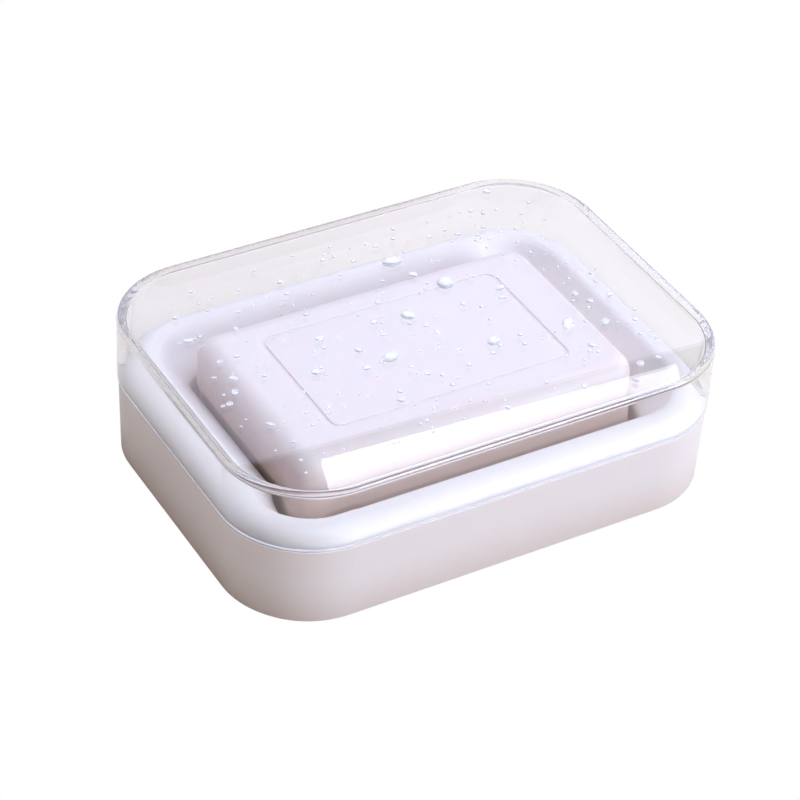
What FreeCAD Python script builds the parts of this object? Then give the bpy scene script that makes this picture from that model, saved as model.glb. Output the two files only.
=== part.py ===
"""Travel soap box: a white tub, a slotted drain tray, a clear lift-off lid and the bar of soap inside.

Millimetres. +X runs along the long side, +Z is up, and the origin is at the centre of the underside.
"""
import FreeCAD, Part
import math
import os
from collections import namedtuple

import Sketcher

# Driving dimensions. Every feature below is bound to these cells.
SIZES = {
    # The closed box from outside.
    "box_length": 130.0,
    "box_width": 95.2,
    "box_height": 39.3,
    "box_corner_radius": 22.7,
    "least_corner_radius": 0.5,
    "seam_height": 22.1,
    "seam_bevel": 0.4,
    # Clear lid.
    "lid_wall": 2.0,
    "lid_top": 2.0,
    "lid_edge_bevel": 1.0,
    # White base.
    "base_setback": 0.25,
    "base_draft_angle": 1.2,
    "base_wall": 2.0,
    "base_floor": 2.2,
    "base_foot_bevel": 0.8,
    "foot_ring_width": 5.0,
    "foot_recess": 0.6,
    # Ribs on the inside of the base that carry the tray.
    "seat_rib_thickness": 1.6,
    "seat_rib_reach": 3.2,
    "seat_rib_side_spacing": 30.0,
    "seat_rib_end_spacing": 32.0,
    # Drain tray: collar, rolled rim and the sloped sides that lead into the well.
    "tray_clearance": 0.4,
    "tray_wall": 1.6,
    "tray_rim_rise": 4.3,
    "tray_seat_drop": 5.1,
    "tray_rim_round": 5.0,
    "tray_crest_width": 1.6,
    "tray_crest_round": 2.8,
    "dish_run": 7.5,
    "dish_drop": 8.3,
    "dish_lip_round": 3.0,
    "cut_overrun": 1.0,
    # Well of the tray, which holds the soap.
    "well_depth": 17.8,
    "well_wall": 1.2,
    "well_draft_angle": 6.0,
    # Long drain slots in the floor of the well, and ribs between them that keep the soap out of the wet.
    "slot_width": 3.4,
    "slot_spacing": 10.5,
    "slot_end_margin": 9.0,
    "slot_side_margin": 6.0,
    "soap_rib_width": 2.0,
    "soap_rib_height": 1.4,
    # Bar of soap, sized to the well it lies in.
    "soap_end_gap": 1.7,
    "soap_side_gap": 2.3,
    "soap_corner_radius": 6.0,
    "soap_top_gap": 6.3,
    "soap_parting_share": 0.42,
    "soap_lower_draft": 2.4,
    "soap_upper_round_share": 0.85,
    "soap_lower_bevel_share": 0.8,
    # Outline groove pressed into the upper face of the soap.
    "soap_panel_end_margin": 13.5,
    "soap_panel_side_margin": 9.0,
    "soap_panel_radius": 3.5,
    "soap_groove_width": 1.2,
    "soap_groove_depth": 0.35,
}

# A rounded rectangle centred on the Z axis, its three sizes held as expressions.
Plan = namedtuple("Plan", "length width radius")


def inset(plan, distance):
    """The same plan with every side moved in by a distance, its corners never sharper than the least."""
    return Plan(
        f"({plan.length} - 2 * ({distance}))",
        f"({plan.width} - 2 * ({distance}))",
        f"max({plan.radius} - ({distance}); Sizes.least_corner_radius)",
    )


# Heights above the underside.
GROUND = "0"
SEAM = "Sizes.seam_height"
BOX_TOP = "Sizes.box_height"
LID_UNDERSIDE = "(Sizes.box_height - Sizes.lid_top)"
BASE_FLOOR = "Sizes.base_floor"
TRAY_SEAT = "(Sizes.seam_height - Sizes.tray_seat_drop)"
TRAY_RIM = "(Sizes.seam_height + Sizes.tray_rim_rise)"
TRAY_RIM_UNDERSIDE = f"({TRAY_RIM} - Sizes.tray_wall)"
WELL_FLOOR = f"({TRAY_RIM} - Sizes.well_depth)"
WELL_UNDERSIDE = f"({WELL_FLOOR} - Sizes.tray_wall)"
SOAP_REST = f"({WELL_FLOOR} + Sizes.soap_rib_height)"
SOAP_FACE = f"({LID_UNDERSIDE} - Sizes.soap_top_gap)"
SOAP_PARTING = f"({SOAP_REST} + Sizes.soap_parting_share * ({SOAP_FACE} - {SOAP_REST}))"

# The slope and the wall of the well both lean, so they meet a little lower than the drop of the slope.
WELL_LEAN = "tan(Sizes.well_draft_angle)"
DISH_SLOPE = "(Sizes.dish_drop / Sizes.dish_run)"
LIP_DEPTH = f"(Sizes.dish_drop / (1 - {DISH_SLOPE} * {WELL_LEAN}))"
LIP = f"({TRAY_RIM} - {LIP_DEPTH})"
# The slope is drawn deeper than it is, so that it passes clean through the wall of the well.
DISH_DEPTH = f"({LIP_DEPTH} + Sizes.cut_overrun)"
DISH_SETBACK = f"({DISH_DEPTH} / {DISH_SLOPE})"
# How far the underside of the slope stands outside its upper side, where both start under the rim.
DISH_WALL_SETBACK = f"(Sizes.tray_wall * (sqrt(1 + {DISH_SLOPE}^2) - 1) / {DISH_SLOPE})"

# Plans from the outside in: each piece is drawn from the one it fits.
BOX_PLAN = Plan("Sizes.box_length", "Sizes.box_width", "Sizes.box_corner_radius")
LID_INSIDE_PLAN = inset(BOX_PLAN, "Sizes.lid_wall")
BASE_TOP_PLAN = inset(BOX_PLAN, "Sizes.base_setback")
BASE_FOOT_PLAN = inset(BASE_TOP_PLAN, f"{SEAM} * tan(Sizes.base_draft_angle)")
BASE_MOUTH_PLAN = inset(BASE_TOP_PLAN, "Sizes.base_wall")
FOOT_RECESS_PLAN = inset(BASE_FOOT_PLAN, "Sizes.foot_ring_width")
COLLAR_PLAN = inset(BASE_MOUTH_PLAN, "Sizes.tray_clearance")
COLLAR_INSIDE_PLAN = inset(COLLAR_PLAN, "Sizes.tray_wall")
CREST_PLAN = inset(COLLAR_PLAN, "Sizes.tray_rim_round + Sizes.tray_crest_width")
WELL_PLAN = inset(CREST_PLAN, "Sizes.dish_run")
WELL_FLOOR_PLAN = inset(WELL_PLAN, f"Sizes.well_depth * {WELL_LEAN}")
LIP_PLAN = inset(WELL_PLAN, f"{LIP_DEPTH} * {WELL_LEAN}")
SOAP_PLAN = Plan(
    f"({WELL_PLAN.length} - 2 * Sizes.soap_end_gap)",
    f"({WELL_PLAN.width} - 2 * Sizes.soap_side_gap)",
    "Sizes.soap_corner_radius",
)
SOAP_BOTTOM_PLAN = inset(SOAP_PLAN, "Sizes.soap_lower_draft")
SOAP_PANEL_PLAN = Plan(
    f"({SOAP_PLAN.length} - 2 * Sizes.soap_panel_end_margin)",
    f"({SOAP_PLAN.width} - 2 * Sizes.soap_panel_side_margin)",
    "Sizes.soap_panel_radius",
)

# Drain slots lie along the well, as many as its floor has room for.
SLOT_COUNT = f"(floor(({WELL_FLOOR_PLAN.width} - 2 * Sizes.slot_side_margin) / Sizes.slot_spacing) + 1)"
SLOT_LENGTH = f"({WELL_FLOOR_PLAN.length} - 2 * Sizes.slot_end_margin)"

# How close two places have to be to count as one, and the least change of volume that counts as a cut.
NEAR = 1e-3
TOLERANCE = 1e-6

doc = FreeCAD.newDocument("travel_soap_box")


def make_sheet():
    """Write the driving dimensions into a sheet, one named cell each."""
    sizes = doc.addObject("Spreadsheet::Sheet", "Sizes")
    for row, (alias, number) in enumerate(SIZES.items(), start=1):
        sizes.set(f"A{row}", alias)
        sizes.set(f"B{row}", str(number))
        sizes.setAlias(f"B{row}", alias)
    doc.recompute()
    return sizes


sheet = make_sheet()


def value(expression):
    """The number that an expression of the sheet's cells comes to."""
    return float(sheet.evalExpression(expression))


def origin_feature(body, role):
    """A body's own origin plane or axis."""
    return next(feature for feature in body.Origin.OriginFeatures if feature.Role == role)


def new_body(label):
    """An empty body whose label names the piece."""
    body = doc.addObject("PartDesign::Body", label)
    body.Label = label
    body.Placement = FreeCAD.Placement()
    return body


def flat_sketch(body, name, height):
    """An empty level sketch at a height."""
    sketch = body.newObject("Sketcher::SketchObject", name)
    sketch.AttachmentSupport = [(origin_feature(body, "XY_Plane"), "")]
    sketch.MapMode = "FlatFace"
    sketch.setExpression("AttachmentOffset.Base.z", height)
    return sketch


def drive(sketch, constraint, name, expression):
    """Add a dimension to a sketch and bind it to an expression."""
    index = sketch.addConstraint(constraint)
    sketch.renameConstraint(index, name)
    sketch.setExpression(f"Constraints.{name}", expression)


def rounded_rectangle(body, name, plan, height):
    """Sketch a plan at a height: four sides joined by tangent corner arcs, centred on the origin."""
    sketch = flat_sketch(body, name, height)
    radius = value(plan.radius)
    half_length = value(plan.length) / 2
    half_width = value(plan.width) / 2
    far_x = half_length - radius
    far_y = half_width - radius
    point = FreeCAD.Vector
    up = point(0, 0, 1)
    corners = [point(far_x, -far_y), point(far_x, far_y), point(-far_x, far_y), point(-far_x, -far_y)]
    sides = [
        (point(-far_x, -half_width), point(far_x, -half_width)),
        (point(half_length, -far_y), point(half_length, far_y)),
        (point(far_x, half_width), point(-far_x, half_width)),
        (point(-half_length, far_y), point(-half_length, -far_y)),
    ]
    for (start, end), corner, quarter in zip(sides, corners, (-1, 0, 1, 2)):
        sketch.addGeometry(Part.LineSegment(start, end))
        circle = Part.Circle(corner, up, radius)
        sketch.addGeometry(Part.ArcOfCircle(circle, quarter * math.pi / 2, (quarter + 1) * math.pi / 2))
    lines = (0, 2, 4, 6)
    for line in lines:
        arc = line + 1
        next_line = (line + 2) % 8
        sketch.addConstraint(Sketcher.Constraint("Tangent", line, 2, arc, 1))
        sketch.addConstraint(Sketcher.Constraint("Tangent", arc, 2, next_line, 1))
    front, right, back, left = lines
    for line in (front, back):
        sketch.addConstraint(Sketcher.Constraint("Horizontal", line))
    for line in (right, left):
        sketch.addConstraint(Sketcher.Constraint("Vertical", line))
    first_arc = front + 1
    for line in (right, back, left):
        sketch.addConstraint(Sketcher.Constraint("Equal", first_arc, line + 1))
    sketch.addConstraint(Sketcher.Constraint("Symmetric", front, 1, back, 1, -1, 1))
    drive(sketch, Sketcher.Constraint("DistanceX", left, 1, right, 1, 2 * half_length), "length", plan.length)
    drive(sketch, Sketcher.Constraint("DistanceY", front, 1, back, 1, 2 * half_width), "width", plan.width)
    drive(sketch, Sketcher.Constraint("Radius", first_arc, radius), "corner", plan.radius)
    return sketch


def extrude(body, kind, name, sketch, length, upwards=True):
    """Raise a sketch into a Pad, or cut it out as a Pocket, and make sure that it changed the solid."""
    before = 0 if body.Tip is None else body.Shape.Volume
    feature = body.newObject(f"PartDesign::{kind}", name)
    feature.Profile = sketch
    feature.Reversed = upwards == (kind == "Pocket")
    feature.setExpression("Length", length)
    doc.recompute()
    if abs(feature.Shape.Volume - before) < TOLERANCE:
        raise RuntimeError(f"{name} changed nothing")
    return feature


def taper(body, kind, name, upper_plan, upper_height, lower_plan, lower_height):
    """Join two plans with straight leaning walls, as an AdditiveLoft or a SubtractiveLoft."""
    upper = rounded_rectangle(body, f"{name}_upper", upper_plan, upper_height)
    lower = rounded_rectangle(body, f"{name}_lower", lower_plan, lower_height)
    feature = body.newObject(f"PartDesign::{kind}", name)
    feature.Profile = upper
    feature.Sections = [lower]
    feature.Ruled = True
    doc.recompute()
    return feature


def level_edges(feature, height, plan):
    """Names of the edges at a height that lie on the outline of a plan."""
    level = value(height)
    half_length = value(plan.length) / 2
    half_width = value(plan.width) / 2
    names = []
    for number, edge in enumerate(feature.Shape.Edges, start=1):
        box = edge.BoundBox
        far_x = max(abs(box.XMin), abs(box.XMax))
        far_y = max(abs(box.YMin), abs(box.YMax))
        at_height = abs(box.ZMin - level) < NEAR and abs(box.ZMax - level) < NEAR
        if at_height and (abs(far_x - half_length) < NEAR or abs(far_y - half_width) < NEAR):
            names.append(f"Edge{number}")
    return names


def dress_edges(body, kind, name, feature, height, plan, size):
    """Round the edges of a plan at a height with a Fillet, or bevel them with a Chamfer."""
    dressing = body.newObject(f"PartDesign::{kind}", name)
    dressing.Base = (feature, level_edges(feature, height, plan))
    dressing.setExpression("Radius" if kind == "Fillet" else "Size", size)
    doc.recompute()
    return dressing


def make_base():
    """White tub: drafted wall, recessed underside and ribs that carry the tray."""
    body = new_body("base_box")
    solid = taper(body, "AdditiveLoft", "base_outside", BASE_TOP_PLAN, SEAM, BASE_FOOT_PLAN, GROUND)
    foot_bevel = "Sizes.base_foot_bevel"
    solid = dress_edges(body, "Chamfer", "base_foot_edge", solid, GROUND, BASE_FOOT_PLAN, foot_bevel)
    dress_edges(body, "Chamfer", "base_seam_edge", solid, SEAM, BASE_TOP_PLAN, "Sizes.seam_bevel")
    mouth = rounded_rectangle(body, "base_mouth", BASE_MOUTH_PLAN, BASE_FLOOR)
    extrude(body, "Pocket", "base_inside", mouth, f"{SEAM} - {BASE_FLOOR}")
    recess = rounded_rectangle(body, "foot_recess_outline", FOOT_RECESS_PLAN, GROUND)
    extrude(body, "Pocket", "foot_recess", recess, "Sizes.foot_recess")
    for side in (-1, 1):
        for place in (-1, 0, 1):
            along = f"{place} * Sizes.seat_rib_side_spacing"
            add_seat_rib(body, "side", side, along, BASE_MOUTH_PLAN.width)
        for place in (-1, 1):
            along = f"{place} * Sizes.seat_rib_end_spacing / 2"
            add_seat_rib(body, "end", side, along, BASE_MOUTH_PLAN.length)
    return body


def add_seat_rib(body, wall, side, along, span):
    """One upright rib on an inside wall. It starts inside the wall and stands in by its reach."""
    rib = body.newObject("PartDesign::AdditiveBox", f"{wall}_seat_rib")
    rib.AttachmentSupport = [(origin_feature(body, "XY_Plane"), "")]
    rib.MapMode = "FlatFace"
    depth = "(Sizes.seat_rib_reach + Sizes.base_wall / 2)"
    outward = f"({span} / 2 - Sizes.seat_rib_reach)"
    if side < 0:
        outward = f"(-({span}) / 2 - Sizes.base_wall / 2)"
    centred = f"({along} - Sizes.seat_rib_thickness / 2)"
    across, lengthwise = ("Width", "Length") if wall == "side" else ("Length", "Width")
    rib.setExpression(across, depth)
    rib.setExpression(lengthwise, "Sizes.seat_rib_thickness")
    rib.setExpression("Height", f"{TRAY_SEAT} - {BASE_FLOOR} / 2")
    rib.setExpression("AttachmentOffset.Base.x", centred if wall == "side" else outward)
    rib.setExpression("AttachmentOffset.Base.y", outward if wall == "side" else centred)
    rib.setExpression("AttachmentOffset.Base.z", f"{BASE_FLOOR} / 2")
    doc.recompute()


def make_lid():
    """Clear cover: straight walls, flat top and a small bevel along its top edge."""
    body = new_body("lid")
    outline = rounded_rectangle(body, "lid_outline", BOX_PLAN, SEAM)
    solid = extrude(body, "Pad", "lid_outside", outline, f"{BOX_TOP} - {SEAM}")
    solid = dress_edges(body, "Chamfer", "lid_top_edge", solid, BOX_TOP, BOX_PLAN, "Sizes.lid_edge_bevel")
    dress_edges(body, "Chamfer", "lid_seam_edge", solid, SEAM, BOX_PLAN, "Sizes.seam_bevel")
    hollow = rounded_rectangle(body, "lid_hollow", LID_INSIDE_PLAN, SEAM)
    extrude(body, "Pocket", "lid_inside", hollow, f"{LID_UNDERSIDE} - {SEAM}")
    return body


def make_tray():
    """White insert: collar, rolled rim, sloped sides, drafted well and a slotted, ribbed floor."""
    body = new_body("drain_tray")
    collar = rounded_rectangle(body, "collar_outline", COLLAR_PLAN, TRAY_SEAT)
    solid = extrude(body, "Pad", "collar", collar, f"{TRAY_RIM} - {TRAY_SEAT}")
    dress_edges(body, "Fillet", "rim_roll", solid, TRAY_RIM, COLLAR_PLAN, "Sizes.tray_rim_round")
    hollow = rounded_rectangle(body, "rim_hollow_outline", COLLAR_INSIDE_PLAN, TRAY_SEAT)
    # The hollow is bevelled where it would come too close to the roll of the rim.
    bevel = "(2 - sqrt(2)) * (Sizes.tray_rim_round - Sizes.tray_wall)"
    bevel_foot = f"({TRAY_RIM_UNDERSIDE} - {bevel})"
    extrude(body, "Pocket", "rim_hollow", hollow, f"{bevel_foot} - {TRAY_SEAT}")
    taper(body, "SubtractiveLoft", "rim_hollow_bevel", inset(COLLAR_INSIDE_PLAN, bevel), TRAY_RIM_UNDERSIDE,
          COLLAR_INSIDE_PLAN, bevel_foot)
    bowl_plan = inset(WELL_PLAN, "-Sizes.well_wall")
    bowl_floor_plan = inset(WELL_FLOOR_PLAN, "-Sizes.well_wall")
    taper(body, "AdditiveLoft", "bowl", bowl_plan, TRAY_RIM_UNDERSIDE, bowl_floor_plan, WELL_UNDERSIDE)
    slope_plan = inset(CREST_PLAN, f"-{DISH_WALL_SETBACK}")
    slope_foot_plan = inset(slope_plan, DISH_SETBACK)
    slope_foot = f"({TRAY_RIM_UNDERSIDE} - {DISH_DEPTH})"
    taper(body, "AdditiveLoft", "slope_underside", slope_plan, TRAY_RIM_UNDERSIDE,
          slope_foot_plan, slope_foot)
    taper(body, "SubtractiveLoft", "well", WELL_PLAN, TRAY_RIM, WELL_FLOOR_PLAN, WELL_FLOOR)
    dish_foot_plan = inset(CREST_PLAN, DISH_SETBACK)
    dish_foot = f"({TRAY_RIM} - {DISH_DEPTH})"
    solid = taper(body, "SubtractiveLoft", "dish", CREST_PLAN, TRAY_RIM, dish_foot_plan, dish_foot)
    solid = dress_edges(body, "Fillet", "dish_lip", solid, LIP, LIP_PLAN, "Sizes.dish_lip_round")
    dress_edges(body, "Fillet", "rim_crest", solid, TRAY_RIM, CREST_PLAN, "Sizes.tray_crest_round")
    add_floor_row(body, "Pocket", "drain_slot", "Sizes.slot_width", "Sizes.tray_wall", SLOT_COUNT)
    rib_count = f"({SLOT_COUNT} - 1)"
    add_floor_row(body, "Pad", "soap_rib", "Sizes.soap_rib_width", "Sizes.soap_rib_height", rib_count)
    return body


def add_floor_row(body, kind, name, width, depth, count):
    """Draw one round-ended strip along the floor of the well, and repeat it across the floor."""
    first_y = f"(-({count} - 1) * Sizes.slot_spacing / 2)"
    sketch = flat_sketch(body, f"{name}_outline", WELL_FLOOR)
    radius = value(width) / 2
    end_x = value(SLOT_LENGTH) / 2 - radius
    y = value(first_y)
    point = FreeCAD.Vector
    up = point(0, 0, 1)
    right_end = Part.Circle(point(end_x, y), up, radius)
    left_end = Part.Circle(point(-end_x, y), up, radius)
    sketch.addGeometry(Part.LineSegment(point(-end_x, y - radius), point(end_x, y - radius)))
    sketch.addGeometry(Part.ArcOfCircle(right_end, -math.pi / 2, math.pi / 2))
    sketch.addGeometry(Part.LineSegment(point(end_x, y + radius), point(-end_x, y + radius)))
    sketch.addGeometry(Part.ArcOfCircle(left_end, math.pi / 2, 3 * math.pi / 2))
    front, right, back, left = range(4)
    for edge, next_edge in ((front, right), (right, back), (back, left), (left, front)):
        sketch.addConstraint(Sketcher.Constraint("Tangent", edge, 2, next_edge, 1))
    sketch.addConstraint(Sketcher.Constraint("Horizontal", front))
    sketch.addConstraint(Sketcher.Constraint("Symmetric", left, 3, right, 3, -2))
    span = f"{SLOT_LENGTH} - {width}"
    drive(sketch, Sketcher.Constraint("Radius", right, radius), "half_width", f"{width} / 2")
    drive(sketch, Sketcher.Constraint("DistanceX", left, 3, right, 3, 2 * end_x), "span", span)
    drive(sketch, Sketcher.Constraint("DistanceY", -1, 1, right, 3, y), "place", first_y)
    strip = extrude(body, kind, name, sketch, depth, upwards=kind == "Pad")
    row = body.newObject("PartDesign::LinearPattern", f"{name}s")
    row.Originals = [strip]
    row.Direction = (origin_feature(body, "Y_Axis"), [""])
    row.setExpression("Length", f"({count} - 1) * Sizes.slot_spacing")
    row.setExpression("Occurrences", count)
    body.Tip = row
    doc.recompute()


def make_soap():
    """Pressed bar: straight above its parting line, drafted below, with a grooved and rounded upper face."""
    body = new_body("soap_bar")
    taper(body, "AdditiveLoft", "soap_lower_half", SOAP_PLAN, SOAP_PARTING, SOAP_BOTTOM_PLAN, SOAP_REST)
    parting = rounded_rectangle(body, "soap_parting", SOAP_PLAN, SOAP_PARTING)
    solid = extrude(body, "Pad", "soap_upper_half", parting, f"{SOAP_FACE} - {SOAP_PARTING}")
    upper_round = f"Sizes.soap_upper_round_share * {SOAP_PLAN.radius}"
    solid = dress_edges(body, "Fillet", "soap_upper_edge", solid, SOAP_FACE, SOAP_PLAN, upper_round)
    lower_bevel = f"Sizes.soap_lower_bevel_share * {SOAP_BOTTOM_PLAN.radius}"
    dress_edges(body, "Chamfer", "soap_lower_edge", solid, SOAP_REST, SOAP_BOTTOM_PLAN, lower_bevel)
    depth = "Sizes.soap_groove_depth"
    panel = rounded_rectangle(body, "panel_outline", SOAP_PANEL_PLAN, SOAP_FACE)
    extrude(body, "Pocket", "panel_recess", panel, depth, upwards=False)
    island_plan = inset(SOAP_PANEL_PLAN, "Sizes.soap_groove_width")
    island = rounded_rectangle(body, "island_outline", island_plan, f"{SOAP_FACE} - {depth}")
    extrude(body, "Pad", "panel_island", island, depth)
    return body


def check_and_write(bodies):
    """Stop at any failed feature or bad solid, then write one file per piece."""
    doc.recompute()
    for item in doc.Objects:
        if "Invalid" in item.State or "Error" in item.State:
            raise RuntimeError(f"{item.Name} failed: {item.State}")
    for body in bodies:
        shape = body.Shape
        if shape.isNull() or not shape.isValid() or len(shape.Solids) != 1:
            raise RuntimeError(f"{body.Label} is not one valid solid")
    os.makedirs("parts", exist_ok=True)
    for body in bodies:
        body.Shape.exportStep(f"parts/{body.Label}.step")
        print(body.Label, f"{body.Shape.Volume:.1f} mm3", body.Shape.BoundBox)


check_and_write([make_base(), make_tray(), make_lid(), make_soap()])
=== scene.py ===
import math
import random

import bmesh
import bpy
from mathutils import Matrix, Quaternion, Vector


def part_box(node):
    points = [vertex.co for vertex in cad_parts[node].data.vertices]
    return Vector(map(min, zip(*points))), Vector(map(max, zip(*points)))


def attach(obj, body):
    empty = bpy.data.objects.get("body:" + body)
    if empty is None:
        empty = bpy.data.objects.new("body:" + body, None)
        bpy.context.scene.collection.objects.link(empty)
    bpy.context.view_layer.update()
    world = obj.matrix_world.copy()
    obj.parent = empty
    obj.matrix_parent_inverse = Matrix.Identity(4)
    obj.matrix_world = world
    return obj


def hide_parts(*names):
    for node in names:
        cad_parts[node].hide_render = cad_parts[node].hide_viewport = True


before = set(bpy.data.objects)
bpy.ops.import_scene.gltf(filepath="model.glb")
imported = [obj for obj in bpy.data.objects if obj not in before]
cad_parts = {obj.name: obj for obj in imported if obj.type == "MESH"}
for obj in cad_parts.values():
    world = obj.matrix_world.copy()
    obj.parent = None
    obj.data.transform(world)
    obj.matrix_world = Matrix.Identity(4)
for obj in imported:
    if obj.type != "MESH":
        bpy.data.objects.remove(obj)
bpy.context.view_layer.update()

# One millimetre in Blender's metres.
MM = 0.001

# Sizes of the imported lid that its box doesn't give, and the rounds of its edges.
CORNER_RADIUS = 22.7 * MM
LID_WALL = 2.0 * MM
LID_TOP = 2.0 * MM
LID_EDGE_ROUND = 1.0 * MM
LID_INSIDE_ROUND = 0.6 * MM
CORNER_SEGMENTS = 32
ROUND_SEGMENTS = 8

# Camera, as fitted to the outline of the box in the photograph.
CAMERA_AZIMUTH = math.radians(-31.76)
CAMERA_ELEVATION = math.radians(37.713)
CAMERA_ROLL = math.radians(3.508)
CAMERA_DISTANCE = 699.3 * MM
CAMERA_TARGET = Vector((-1.02, 3.82, 13.86)) * MM
CAMERA_LENS = 128.15
SENSOR_WIDTH = 36.0

# Panels behind the box that its lid mirrors, on a plane square to the mirrored line of sight.
PANEL_AZIMUTH = 33.2
PANEL_ELEVATION = 38.2
PANEL_DISTANCE = 550 * MM
PANEL_TILT = 19.4
PANELS = (
    # name, left, right, bottom, top, radiance, colour
    ("lavender_panel", -260 * MM, 150 * MM, -240 * MM, 18 * MM, 1.3, "#e9e6ff"),
    ("white_strip", -57 * MM, 102 * MM, 24.5 * MM, 60 * MM, 3.6, "#f0f4ff"),
)

# Water drops on the lid: x, y, length and width in millimetres.
DROPS = (
    (7.4, 25.2, 5.5, 4.2), (14.7, 11.7, 5.2, 4.4), (-0.1, 4.0, 4.2, 3.4),
    (-12.2, -8.6, 4.8, 3.6), (32.6, -16.1, 6.0, 2.6), (13.2, -13.9, 4.2, 3.2),
    (9.3, 18.1, 2.4, 2.0), (-17.6, -3.0, 2.2, 1.8), (-19.2, -10.0, 2.4, 2.0),
    (-30.7, -6.2, 2.4, 2.2), (2.8, -5.3, 1.4, 1.2), (44.6, 41.8, 2.6, 1.8),
    (-18.0, -24.1, 2.2, 2.0), (25.8, 4.0, 3.0, 1.8), (-8.9, 5.1, 2.0, 1.6),
    (33.5, -25.7, 2.4, 1.8), (41.0, -6.2, 2.2, 1.8), (41.5, -19.1, 3.2, 2.0),
    (48.5, -9.9, 2.2, 1.6), (42.8, -10.2, 1.8, 1.6), (39.9, -36.9, 2.4, 1.8),
    (35.4, -41.7, 2.0, 1.6), (23.0, -38.4, 2.2, 1.6), (2.9, -37.5, 2.0, 1.6),
    (-52.2, 17.7, 2.4, 1.8), (-49.1, 0.1, 2.2, 2.0), (-51.2, -4.7, 2.4, 1.6),
    (-54.3, -8.2, 2.0, 1.6), (-49.3, -18.9, 2.2, 1.6), (-49.2, 7.0, 1.8, 1.6),
    (-21.3, 29.4, 2.2, 1.6),
)
# Specks between them, in millimetres, drawn at random from a seed.
DROP_SEED = 7
SPECK_COUNT = 220
SPECK_WIDTHS = (0.5, 1.3)
SPECK_STRETCH = (1.0, 1.4)
SPECK_SPREAD_X = (-56, 52)
SPECK_SPREAD_Y = (-38, 38)
# A drop's height as a share of its width, and its distance from the lid.
DROP_HEIGHT_SHARE = 0.22
DROP_LIFT = 0.02 * MM
DROP_SEGMENTS = 12
DROP_RINGS = 6

# Soft lights, in metres and watts, and the point that they shine at.
SOFT_LIGHTS = (
    # name, place, size, power, colour, mirrored
    ("overhead", (0.25, 0.0, 1.2), (1.2, 1.2), 20.5, "#d4e2ff", False),
    ("right_front", (0.75, -1.1, 0.45), (0.6, 0.6), 12.2, "#dce8ff", True),
)
LIGHT_AIM = Vector((0, 0, 20 * MM))
ROOM_COLOUR = "#e0cfcb"
ROOM_STRENGTH = 0.33
FLOOR_REACH = 3.0

# Light runs a long way inside the edges of the clear lid before it comes out again.
CLEAR_BOUNCES = 24
GLOSSY_BOUNCES = 16


def linear(hex_colour):
    """Turn an sRGB hex colour into the linear colour that shaders use."""
    channels = [int(hex_colour[start:start + 2], 16) / 255 for start in (1, 3, 5)]
    opaque = (1.0,)
    return tuple(
        c / 12.92 if c <= 0.04045 else ((c + 0.055) / 1.055) ** 2.4 for c in channels) + opaque


def add_node(tree, kind, inputs=None, **settings):
    """Add a shader node. An input is a plain value, or another node's output to link from."""
    node = tree.nodes.new(kind)
    for name, setting in settings.items():
        setattr(node, name, setting)
    for name, given in (inputs or {}).items():
        if isinstance(given, bpy.types.NodeSocket):
            tree.links.new(given, node.inputs[name])
        else:
            node.inputs[name].default_value = given
    return node


def new_material(name):
    """An empty material, its node tree and its output."""
    material = bpy.data.materials.new(name)
    material.use_nodes = True
    material.node_tree.nodes.clear()
    output = add_node(material.node_tree, "ShaderNodeOutputMaterial")
    return material, material.node_tree, output


def noise(tree, place, size, detail):
    """Noise with spots of about a given size."""
    settings = {"Vector": place, "Scale": 1 / size, "Detail": detail}
    return add_node(tree, "ShaderNodeTexNoise", settings).outputs["Fac"]


def paint_shade_below(tree, place, tone, painted_shade_colour, low, high):
    """Paint shade into a tone: a tan colour mixed in lower down stands in for light that has
    bounced between close walls.
    """
    height = add_node(tree, "ShaderNodeSeparateXYZ", {"Vector": place}).outputs["Z"]
    painted_shade_amount = add_node(tree, "ShaderNodeMapRange", {
        "Value": height, "From Min": low, "From Max": high, "To Min": 1.0, "To Max": 0.0,
    }, interpolation_type="SMOOTHSTEP")
    shade_painted_tone = add_node(tree, "ShaderNodeMix", {"Factor": painted_shade_amount.outputs["Result"]}, data_type="RGBA")
    tree.links.new(tone, shade_painted_tone.inputs["A"])
    shade_painted_tone.inputs["B"].default_value = linear(painted_shade_colour)
    return shade_painted_tone.outputs["Result"]


def moulded_polypropylene(name, colour, shade, painted_shade_colour, painted_shade_low, painted_shade_high):
    """White moulded polypropylene: satin, a little see-through, with a fine mould grain."""
    material, tree, output = new_material(name)
    place = add_node(tree, "ShaderNodeTexCoord").outputs["Object"]
    # The grain of an eroded mould is about 0.1 mm; it is drawn at 0.5 mm so that it shows.
    grain_size = 0.5 * MM
    cloud_size = 25 * MM
    grain = noise(tree, place, grain_size, 2.0)
    cloud = noise(tree, place, cloud_size, 3.0)
    tone = add_node(tree, "ShaderNodeMix", {"Factor": cloud}, data_type="RGBA")
    tone.inputs["A"].default_value = linear(colour)
    tone.inputs["B"].default_value = linear(shade)
    gloss = add_node(tree, "ShaderNodeMapRange",
                     {"Value": grain, "To Min": 0.30, "To Max": 0.44})
    bump = add_node(tree, "ShaderNodeBump",
                    {"Height": grain, "Strength": 0.06, "Distance": 0.05 * MM})
    # Painted shade: lower down the colour turns tan, standing in for light bounced between close
    # walls.
    shade_painted_tone = paint_shade_below(tree, place, tone.outputs["Result"], painted_shade_colour, painted_shade_low, painted_shade_high)
    shader = add_node(tree, "ShaderNodeBsdfPrincipled", {
        "Base Color": shade_painted_tone,
        "Roughness": gloss.outputs["Result"],
        "Normal": bump.outputs["Normal"],
        "IOR": 1.49,
        "Subsurface Weight": 0.35,
        "Subsurface Radius": (4.0 * MM, 2.0 * MM, 1.4 * MM),
        "Subsurface Scale": 1.0,
    })
    tree.links.new(shader.outputs["BSDF"], output.inputs["Surface"])
    return material


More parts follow.
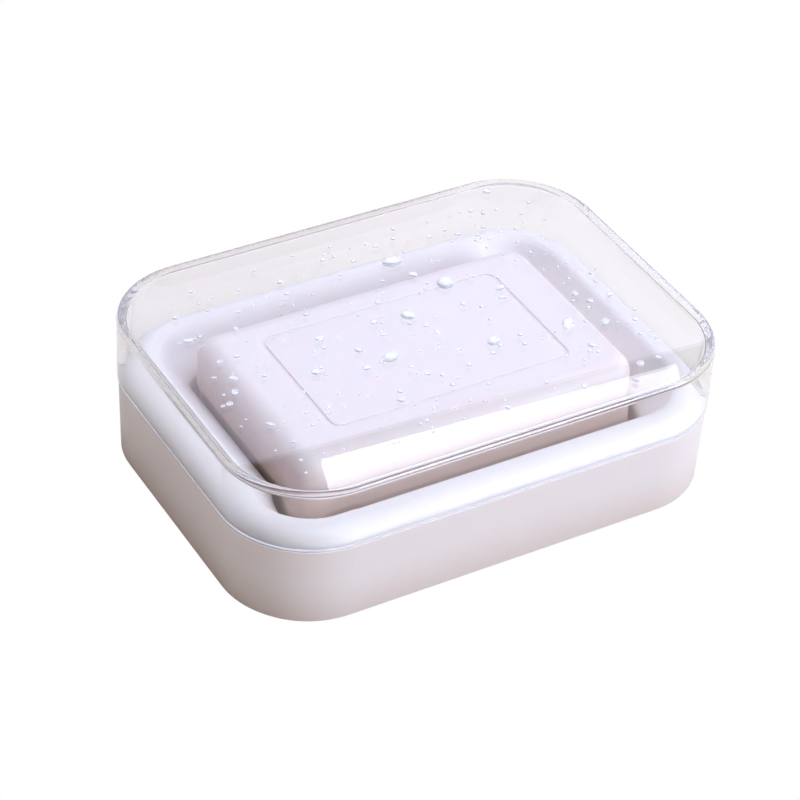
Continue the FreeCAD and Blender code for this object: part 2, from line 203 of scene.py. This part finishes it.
def pressed_soap():
    """Pressed white soap: smooth, waxy and a little see-through, with faint milky clouding."""
    material, tree, output = new_material("pressed_white_soap")
    place = add_node(tree, "ShaderNodeTexCoord").outputs["Object"]
    cloud_size = 9 * MM
    press_size = 3 * MM
    cloud = noise(tree, place, cloud_size, 4.0)
    press = noise(tree, place, press_size, 2.0)
    tone = add_node(tree, "ShaderNodeMix", {"Factor": cloud}, data_type="RGBA")
    tone.inputs["A"].default_value = linear("#e7d9d5")
    tone.inputs["B"].default_value = linear("#e4d5d1")
    gloss = add_node(tree, "ShaderNodeMapRange",
                     {"Value": cloud, "To Min": 0.36, "To Max": 0.52})
    bump = add_node(tree, "ShaderNodeBump",
                    {"Height": press, "Strength": 0.08, "Distance": 0.2 * MM})
    # Painted shade: below 26 mm the soap turns tan, standing in for light bounced between soap and
    # tray.
    shade_painted_tone = paint_shade_below(tree, place, tone.outputs["Result"], "#e0cabf", 20 * MM, 26 * MM)
    shader = add_node(tree, "ShaderNodeBsdfPrincipled", {
        "Base Color": shade_painted_tone,
        "Roughness": gloss.outputs["Result"],
        "Normal": bump.outputs["Normal"],
        "IOR": 1.46,
        "Subsurface Weight": 0.5,
        "Subsurface Radius": (6.0 * MM, 3.0 * MM, 2.2 * MM),
        "Subsurface Scale": 1.0,
    })
    tree.links.new(shader.outputs["BSDF"], output.inputs["Surface"])
    return material


def clear_material(name, colour, ior, clarity, wave_size, wave_strength):
    """A clear material that bends and mirrors light, and lets lamps through to what lies inside."""
    material, tree, output = new_material(name)
    place = add_node(tree, "ShaderNodeTexCoord").outputs["Object"]
    waves = noise(tree, place, wave_size, 1.0)
    bump = add_node(tree, "ShaderNodeBump",
                    {"Height": waves, "Strength": wave_strength, "Distance": 0.1 * MM})
    glass = add_node(tree, "ShaderNodeBsdfPrincipled", {
        "Base Color": linear(colour),
        "Roughness": 0.0,
        "Normal": bump.outputs["Normal"],
        "IOR": ior,
        "Transmission Weight": clarity,
    })
    shadow = add_node(tree, "ShaderNodeBsdfTransparent", {"Color": linear(colour)})
    path = add_node(tree, "ShaderNodeLightPath")
    mix = add_node(tree, "ShaderNodeMixShader", {"Fac": path.outputs["Is Shadow Ray"]})
    tree.links.new(glass.outputs["BSDF"], mix.inputs[1])
    tree.links.new(shadow.outputs["BSDF"], mix.inputs[2])
    tree.links.new(mix.outputs["Shader"], output.inputs["Surface"])
    return material


def new_piece(name, bm, material, smooth=True):
    """Turn a finished bmesh into an object at the origin, with its place in its mesh."""
    mesh = bpy.data.meshes.new(name)
    bm.to_mesh(mesh)
    bm.free()
    for face in mesh.polygons:
        face.use_smooth = smooth
    mesh.materials.append(material)
    piece = bpy.data.objects.new(name, mesh)
    bpy.context.scene.collection.objects.link(piece)
    return piece


def keep_flats_flat(piece):
    """Let the large faces set the normals, so that flats stay flat beside small rounds."""
    weighted = piece.modifiers.new("flat_faces", "WEIGHTED_NORMAL")
    weighted.mode = "FACE_AREA"
    weighted.weight = 100


def rounded_outline(bm, low, high, height, radius, segments):
    """A flat face with rounded corners, facing up."""
    centre = Vector(((low.x + high.x) / 2, (low.y + high.y) / 2, height))
    stretch = Matrix.Diagonal((high.x - low.x, high.y - low.y, 1, 1))
    made = bmesh.ops.create_grid(bm, x_segments=1, y_segments=1, size=0.5,
                                 matrix=Matrix.Translation(centre) @ stretch)
    bmesh.ops.bevel(bm, geom=made["verts"], offset=radius, offset_type="OFFSET", segments=segments,
                    profile=0.5, affect="VERTICES", material=-1)
    return max(bm.faces, key=lambda face: len(face.verts))


def raise_face(bm, face, shift, open_foot=False):
    """Extrude a face and return the moved one. An open foot loses the face it started from."""
    made = bmesh.ops.extrude_face_region(bm, geom=[face])["geom"]
    moved = [part for part in made if isinstance(part, bmesh.types.BMVert)]
    bmesh.ops.translate(bm, verts=moved, vec=shift)
    raised = next(part for part in made if isinstance(part, bmesh.types.BMFace))
    if open_foot:
        bmesh.ops.delete(bm, geom=[face], context="FACES_ONLY")
    return raised


def round_edges(bm, edges, radius, segments):
    """Round a ring of edges."""
    bmesh.ops.bevel(bm, geom=list(edges), offset=radius, offset_type="OFFSET", segments=segments,
                    profile=0.5, affect="EDGES", material=-1)


def make_lid(material):
    """Clear cover with evenly thick walls and rounded edges inside and out."""
    low, high = (Vector(corner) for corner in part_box("lid"))
    up = Vector((0, 0, 1))
    bm = bmesh.new()
    seam_face = rounded_outline(bm, low, high, low.z, CORNER_RADIUS, CORNER_SEGMENTS)
    top_face = raise_face(bm, seam_face, up * (high.z - low.z))
    seam_face = next(face for face in bm.faces if face is not top_face and len(face.verts) > 4)
    round_edges(bm, top_face.edges, LID_EDGE_ROUND, ROUND_SEGMENTS)
    bmesh.ops.inset_region(bm, faces=[seam_face], thickness=LID_WALL, use_even_offset=True)
    ceiling = raise_face(bm, seam_face, up * (high.z - LID_TOP - low.z), open_foot=True)
    round_edges(bm, ceiling.edges, LID_INSIDE_ROUND, ROUND_SEGMENTS)
    bmesh.ops.recalc_face_normals(bm, faces=bm.faces)
    lid = new_piece("clear_lid", bm, material)
    keep_flats_flat(lid)
    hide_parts("lid")
    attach(lid, "lid")


def make_drops(material):
    """Water drops on the lid: large ones as in the photograph, and a seeded spray of specks."""
    dome = bmesh.new()
    bmesh.ops.create_uvsphere(dome, u_segments=DROP_SEGMENTS, v_segments=DROP_RINGS,
                              radius=0.5)
    bmesh.ops.bisect_plane(dome, geom=dome.verts[:] + dome.edges[:] + dome.faces[:], dist=1e-4,
                           plane_co=(0, 0, 0), plane_no=(0, 0, 1), clear_inner=True)
    rim = [edge for edge in dome.edges if edge.is_boundary]
    bmesh.ops.holes_fill(dome, edges=rim)
    # A sharp rim keeps the flat underside from bending the shading of the dome.
    for edge in rim:
        edge.smooth = False
    bmesh.ops.recalc_face_normals(dome, faces=dome.faces)
    shape = bpy.data.meshes.new("drop_shape")
    dome.to_mesh(shape)
    dome.free()
    seeded = random.Random(DROP_SEED)
    spots = list(DROPS)
    for _ in range(SPECK_COUNT):
        wide = seeded.uniform(*SPECK_WIDTHS)
        x = seeded.uniform(*SPECK_SPREAD_X)
        y = seeded.uniform(*SPECK_SPREAD_Y)
        spots.append((x, y, wide * seeded.uniform(*SPECK_STRETCH), wide))
    lid_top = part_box("lid")[1][2]
    bm = bmesh.new()
    for x, y, long, wide in spots:
        first = len(bm.verts)
        bm.from_mesh(shape)
        bm.verts.ensure_lookup_table()
        place = Matrix.Translation((x * MM, y * MM, lid_top + DROP_LIFT))
        turn = Matrix.Rotation(seeded.uniform(0, math.pi), 4, "Z")
        size = Matrix.Diagonal((long * MM, wide * MM, wide * DROP_HEIGHT_SHARE * 2 * MM, 1))
        bmesh.ops.transform(bm, matrix=place @ turn @ size, verts=bm.verts[first:])
    bpy.data.meshes.remove(shape)
    drops = new_piece("water_drops", bm, material)
    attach(drops, "lid")


def make_camera():
    """Camera at the photograph's angle."""
    towards = Vector((
        math.sin(CAMERA_AZIMUTH) * math.cos(CAMERA_ELEVATION),
        -math.cos(CAMERA_AZIMUTH) * math.cos(CAMERA_ELEVATION),
        math.sin(CAMERA_ELEVATION),
    ))
    data = bpy.data.cameras.new("camera")
    data.sensor_fit = "HORIZONTAL"
    data.sensor_width = SENSOR_WIDTH
    data.lens = CAMERA_LENS
    camera = bpy.data.objects.new("camera", data)
    turn = towards.to_track_quat("Z", "Y") @ Quaternion((0, 0, 1), CAMERA_ROLL)
    camera.matrix_world = Matrix.LocRotScale(CAMERA_TARGET + towards * CAMERA_DISTANCE, turn, None)
    bpy.context.scene.collection.objects.link(camera)
    bpy.context.scene.camera = camera


def softbox(name, place, turn, size, power, colour, mirrored, seen_through):
    """A soft light that shines along its own -Z. It may show in gloss and through the lid."""
    data = bpy.data.lights.new(name, "AREA")
    data.shape = "RECTANGLE"
    data.size, data.size_y = size
    data.energy = power
    data.color = linear(colour)[:3]
    lamp = bpy.data.objects.new(name, data)
    lamp.matrix_world = Matrix.LocRotScale(place, turn, None)
    lamp.visible_camera = False
    lamp.visible_glossy = mirrored
    lamp.visible_transmission = seen_through
    bpy.context.scene.collection.objects.link(lamp)


def make_floor():
    """Pale floor that looks white to the camera and lights the box like cream paper."""
    bm = bmesh.new()
    bmesh.ops.create_grid(bm, x_segments=1, y_segments=1, size=FLOOR_REACH)
    material, tree, output = new_material("cream_paper")
    paper = add_node(tree, "ShaderNodeBsdfDiffuse", {"Color": linear("#e1d6c4")})
    white = add_node(tree, "ShaderNodeEmission", {"Color": linear("#ffffff"), "Strength": 1.0})
    path = add_node(tree, "ShaderNodeLightPath")
    mix = add_node(tree, "ShaderNodeMixShader", {"Fac": path.outputs["Is Camera Ray"]})
    tree.links.new(paper.outputs["BSDF"], mix.inputs[1])
    tree.links.new(white.outputs["Emission"], mix.inputs[2])
    tree.links.new(mix.outputs["Shader"], output.inputs["Surface"])
    floor = new_piece("floor", bm, material, smooth=False)


def make_light():
    """Warm dim room, two soft lights, and two panels that the lid mirrors."""
    world = bpy.data.worlds.new("room")
    bpy.context.scene.world = world
    world.use_nodes = True
    background = world.node_tree.nodes["Background"]
    background.inputs["Color"].default_value = linear(ROOM_COLOUR)
    background.inputs["Strength"].default_value = ROOM_STRENGTH
    for name, place, size, power, colour, mirrored in SOFT_LIGHTS:
        place = Vector(place)
        turn = (place - LIGHT_AIM).to_track_quat("Z", "Y")
        softbox(name, place, turn, size, power, colour, mirrored, seen_through=False)
    azimuth = math.radians(PANEL_AZIMUTH)
    elevation = math.radians(PANEL_ELEVATION)
    away = Vector((math.sin(azimuth) * math.cos(elevation), math.cos(azimuth) * math.cos(elevation),
                   math.sin(elevation)))
    level = Vector((math.cos(azimuth), -math.sin(azimuth), 0))
    along = Quaternion(away, math.radians(PANEL_TILT)) @ level
    across = along.cross(away)
    turn = Matrix((along, -across, away)).transposed().to_quaternion()
    lid_top = Vector((0, 0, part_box("lid")[1][2]))
    for name, left, right, bottom, top, radiance, colour in PANELS:
        centre = lid_top + away * PANEL_DISTANCE
        centre = centre + along * (left + right) / 2 + across * (bottom + top) / 2
        size = (right - left, top - bottom)
        power = radiance * math.pi * size[0] * size[1]
        softbox(name, centre, turn, size, power, colour, mirrored=True, seen_through=True)


bpy.context.scene.view_settings.view_transform = "Standard"
bpy.context.scene.cycles.max_bounces = CLEAR_BOUNCES
bpy.context.scene.cycles.glossy_bounces = GLOSSY_BOUNCES
bpy.context.scene.cycles.transmission_bounces = CLEAR_BOUNCES
make_camera()
make_light()
make_floor()

finishes = {
    # Painted shade: the box turns browner below 14 mm, standing in for shade near the floor.
    "base_box": moulded_polypropylene(
        "moulded_white_polypropylene", "#eae0dd", "#e7dddb", "#dfd1cb", 0, 14 * MM),
    # Painted shade: the tray turns tan below 24 mm, standing in for shade in the gap around the
    # soap.
    "drain_tray": moulded_polypropylene(
        "moulded_white_tray", "#eaddd9", "#e8dad6", "#e3cfc3", 10 * MM, 24 * MM),
    "soap_bar": pressed_soap(),
}
for node, finish in finishes.items():
    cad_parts[node].data.materials.clear()
    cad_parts[node].data.materials.append(finish)
make_lid(clear_material("moulded_clear_styrene", "#fdfefd", 1.57, 1.0, 30 * MM, 0.02))
make_drops(clear_material("water", "#ffffff", 1.33, 0.75, 5 * MM, 0.02))
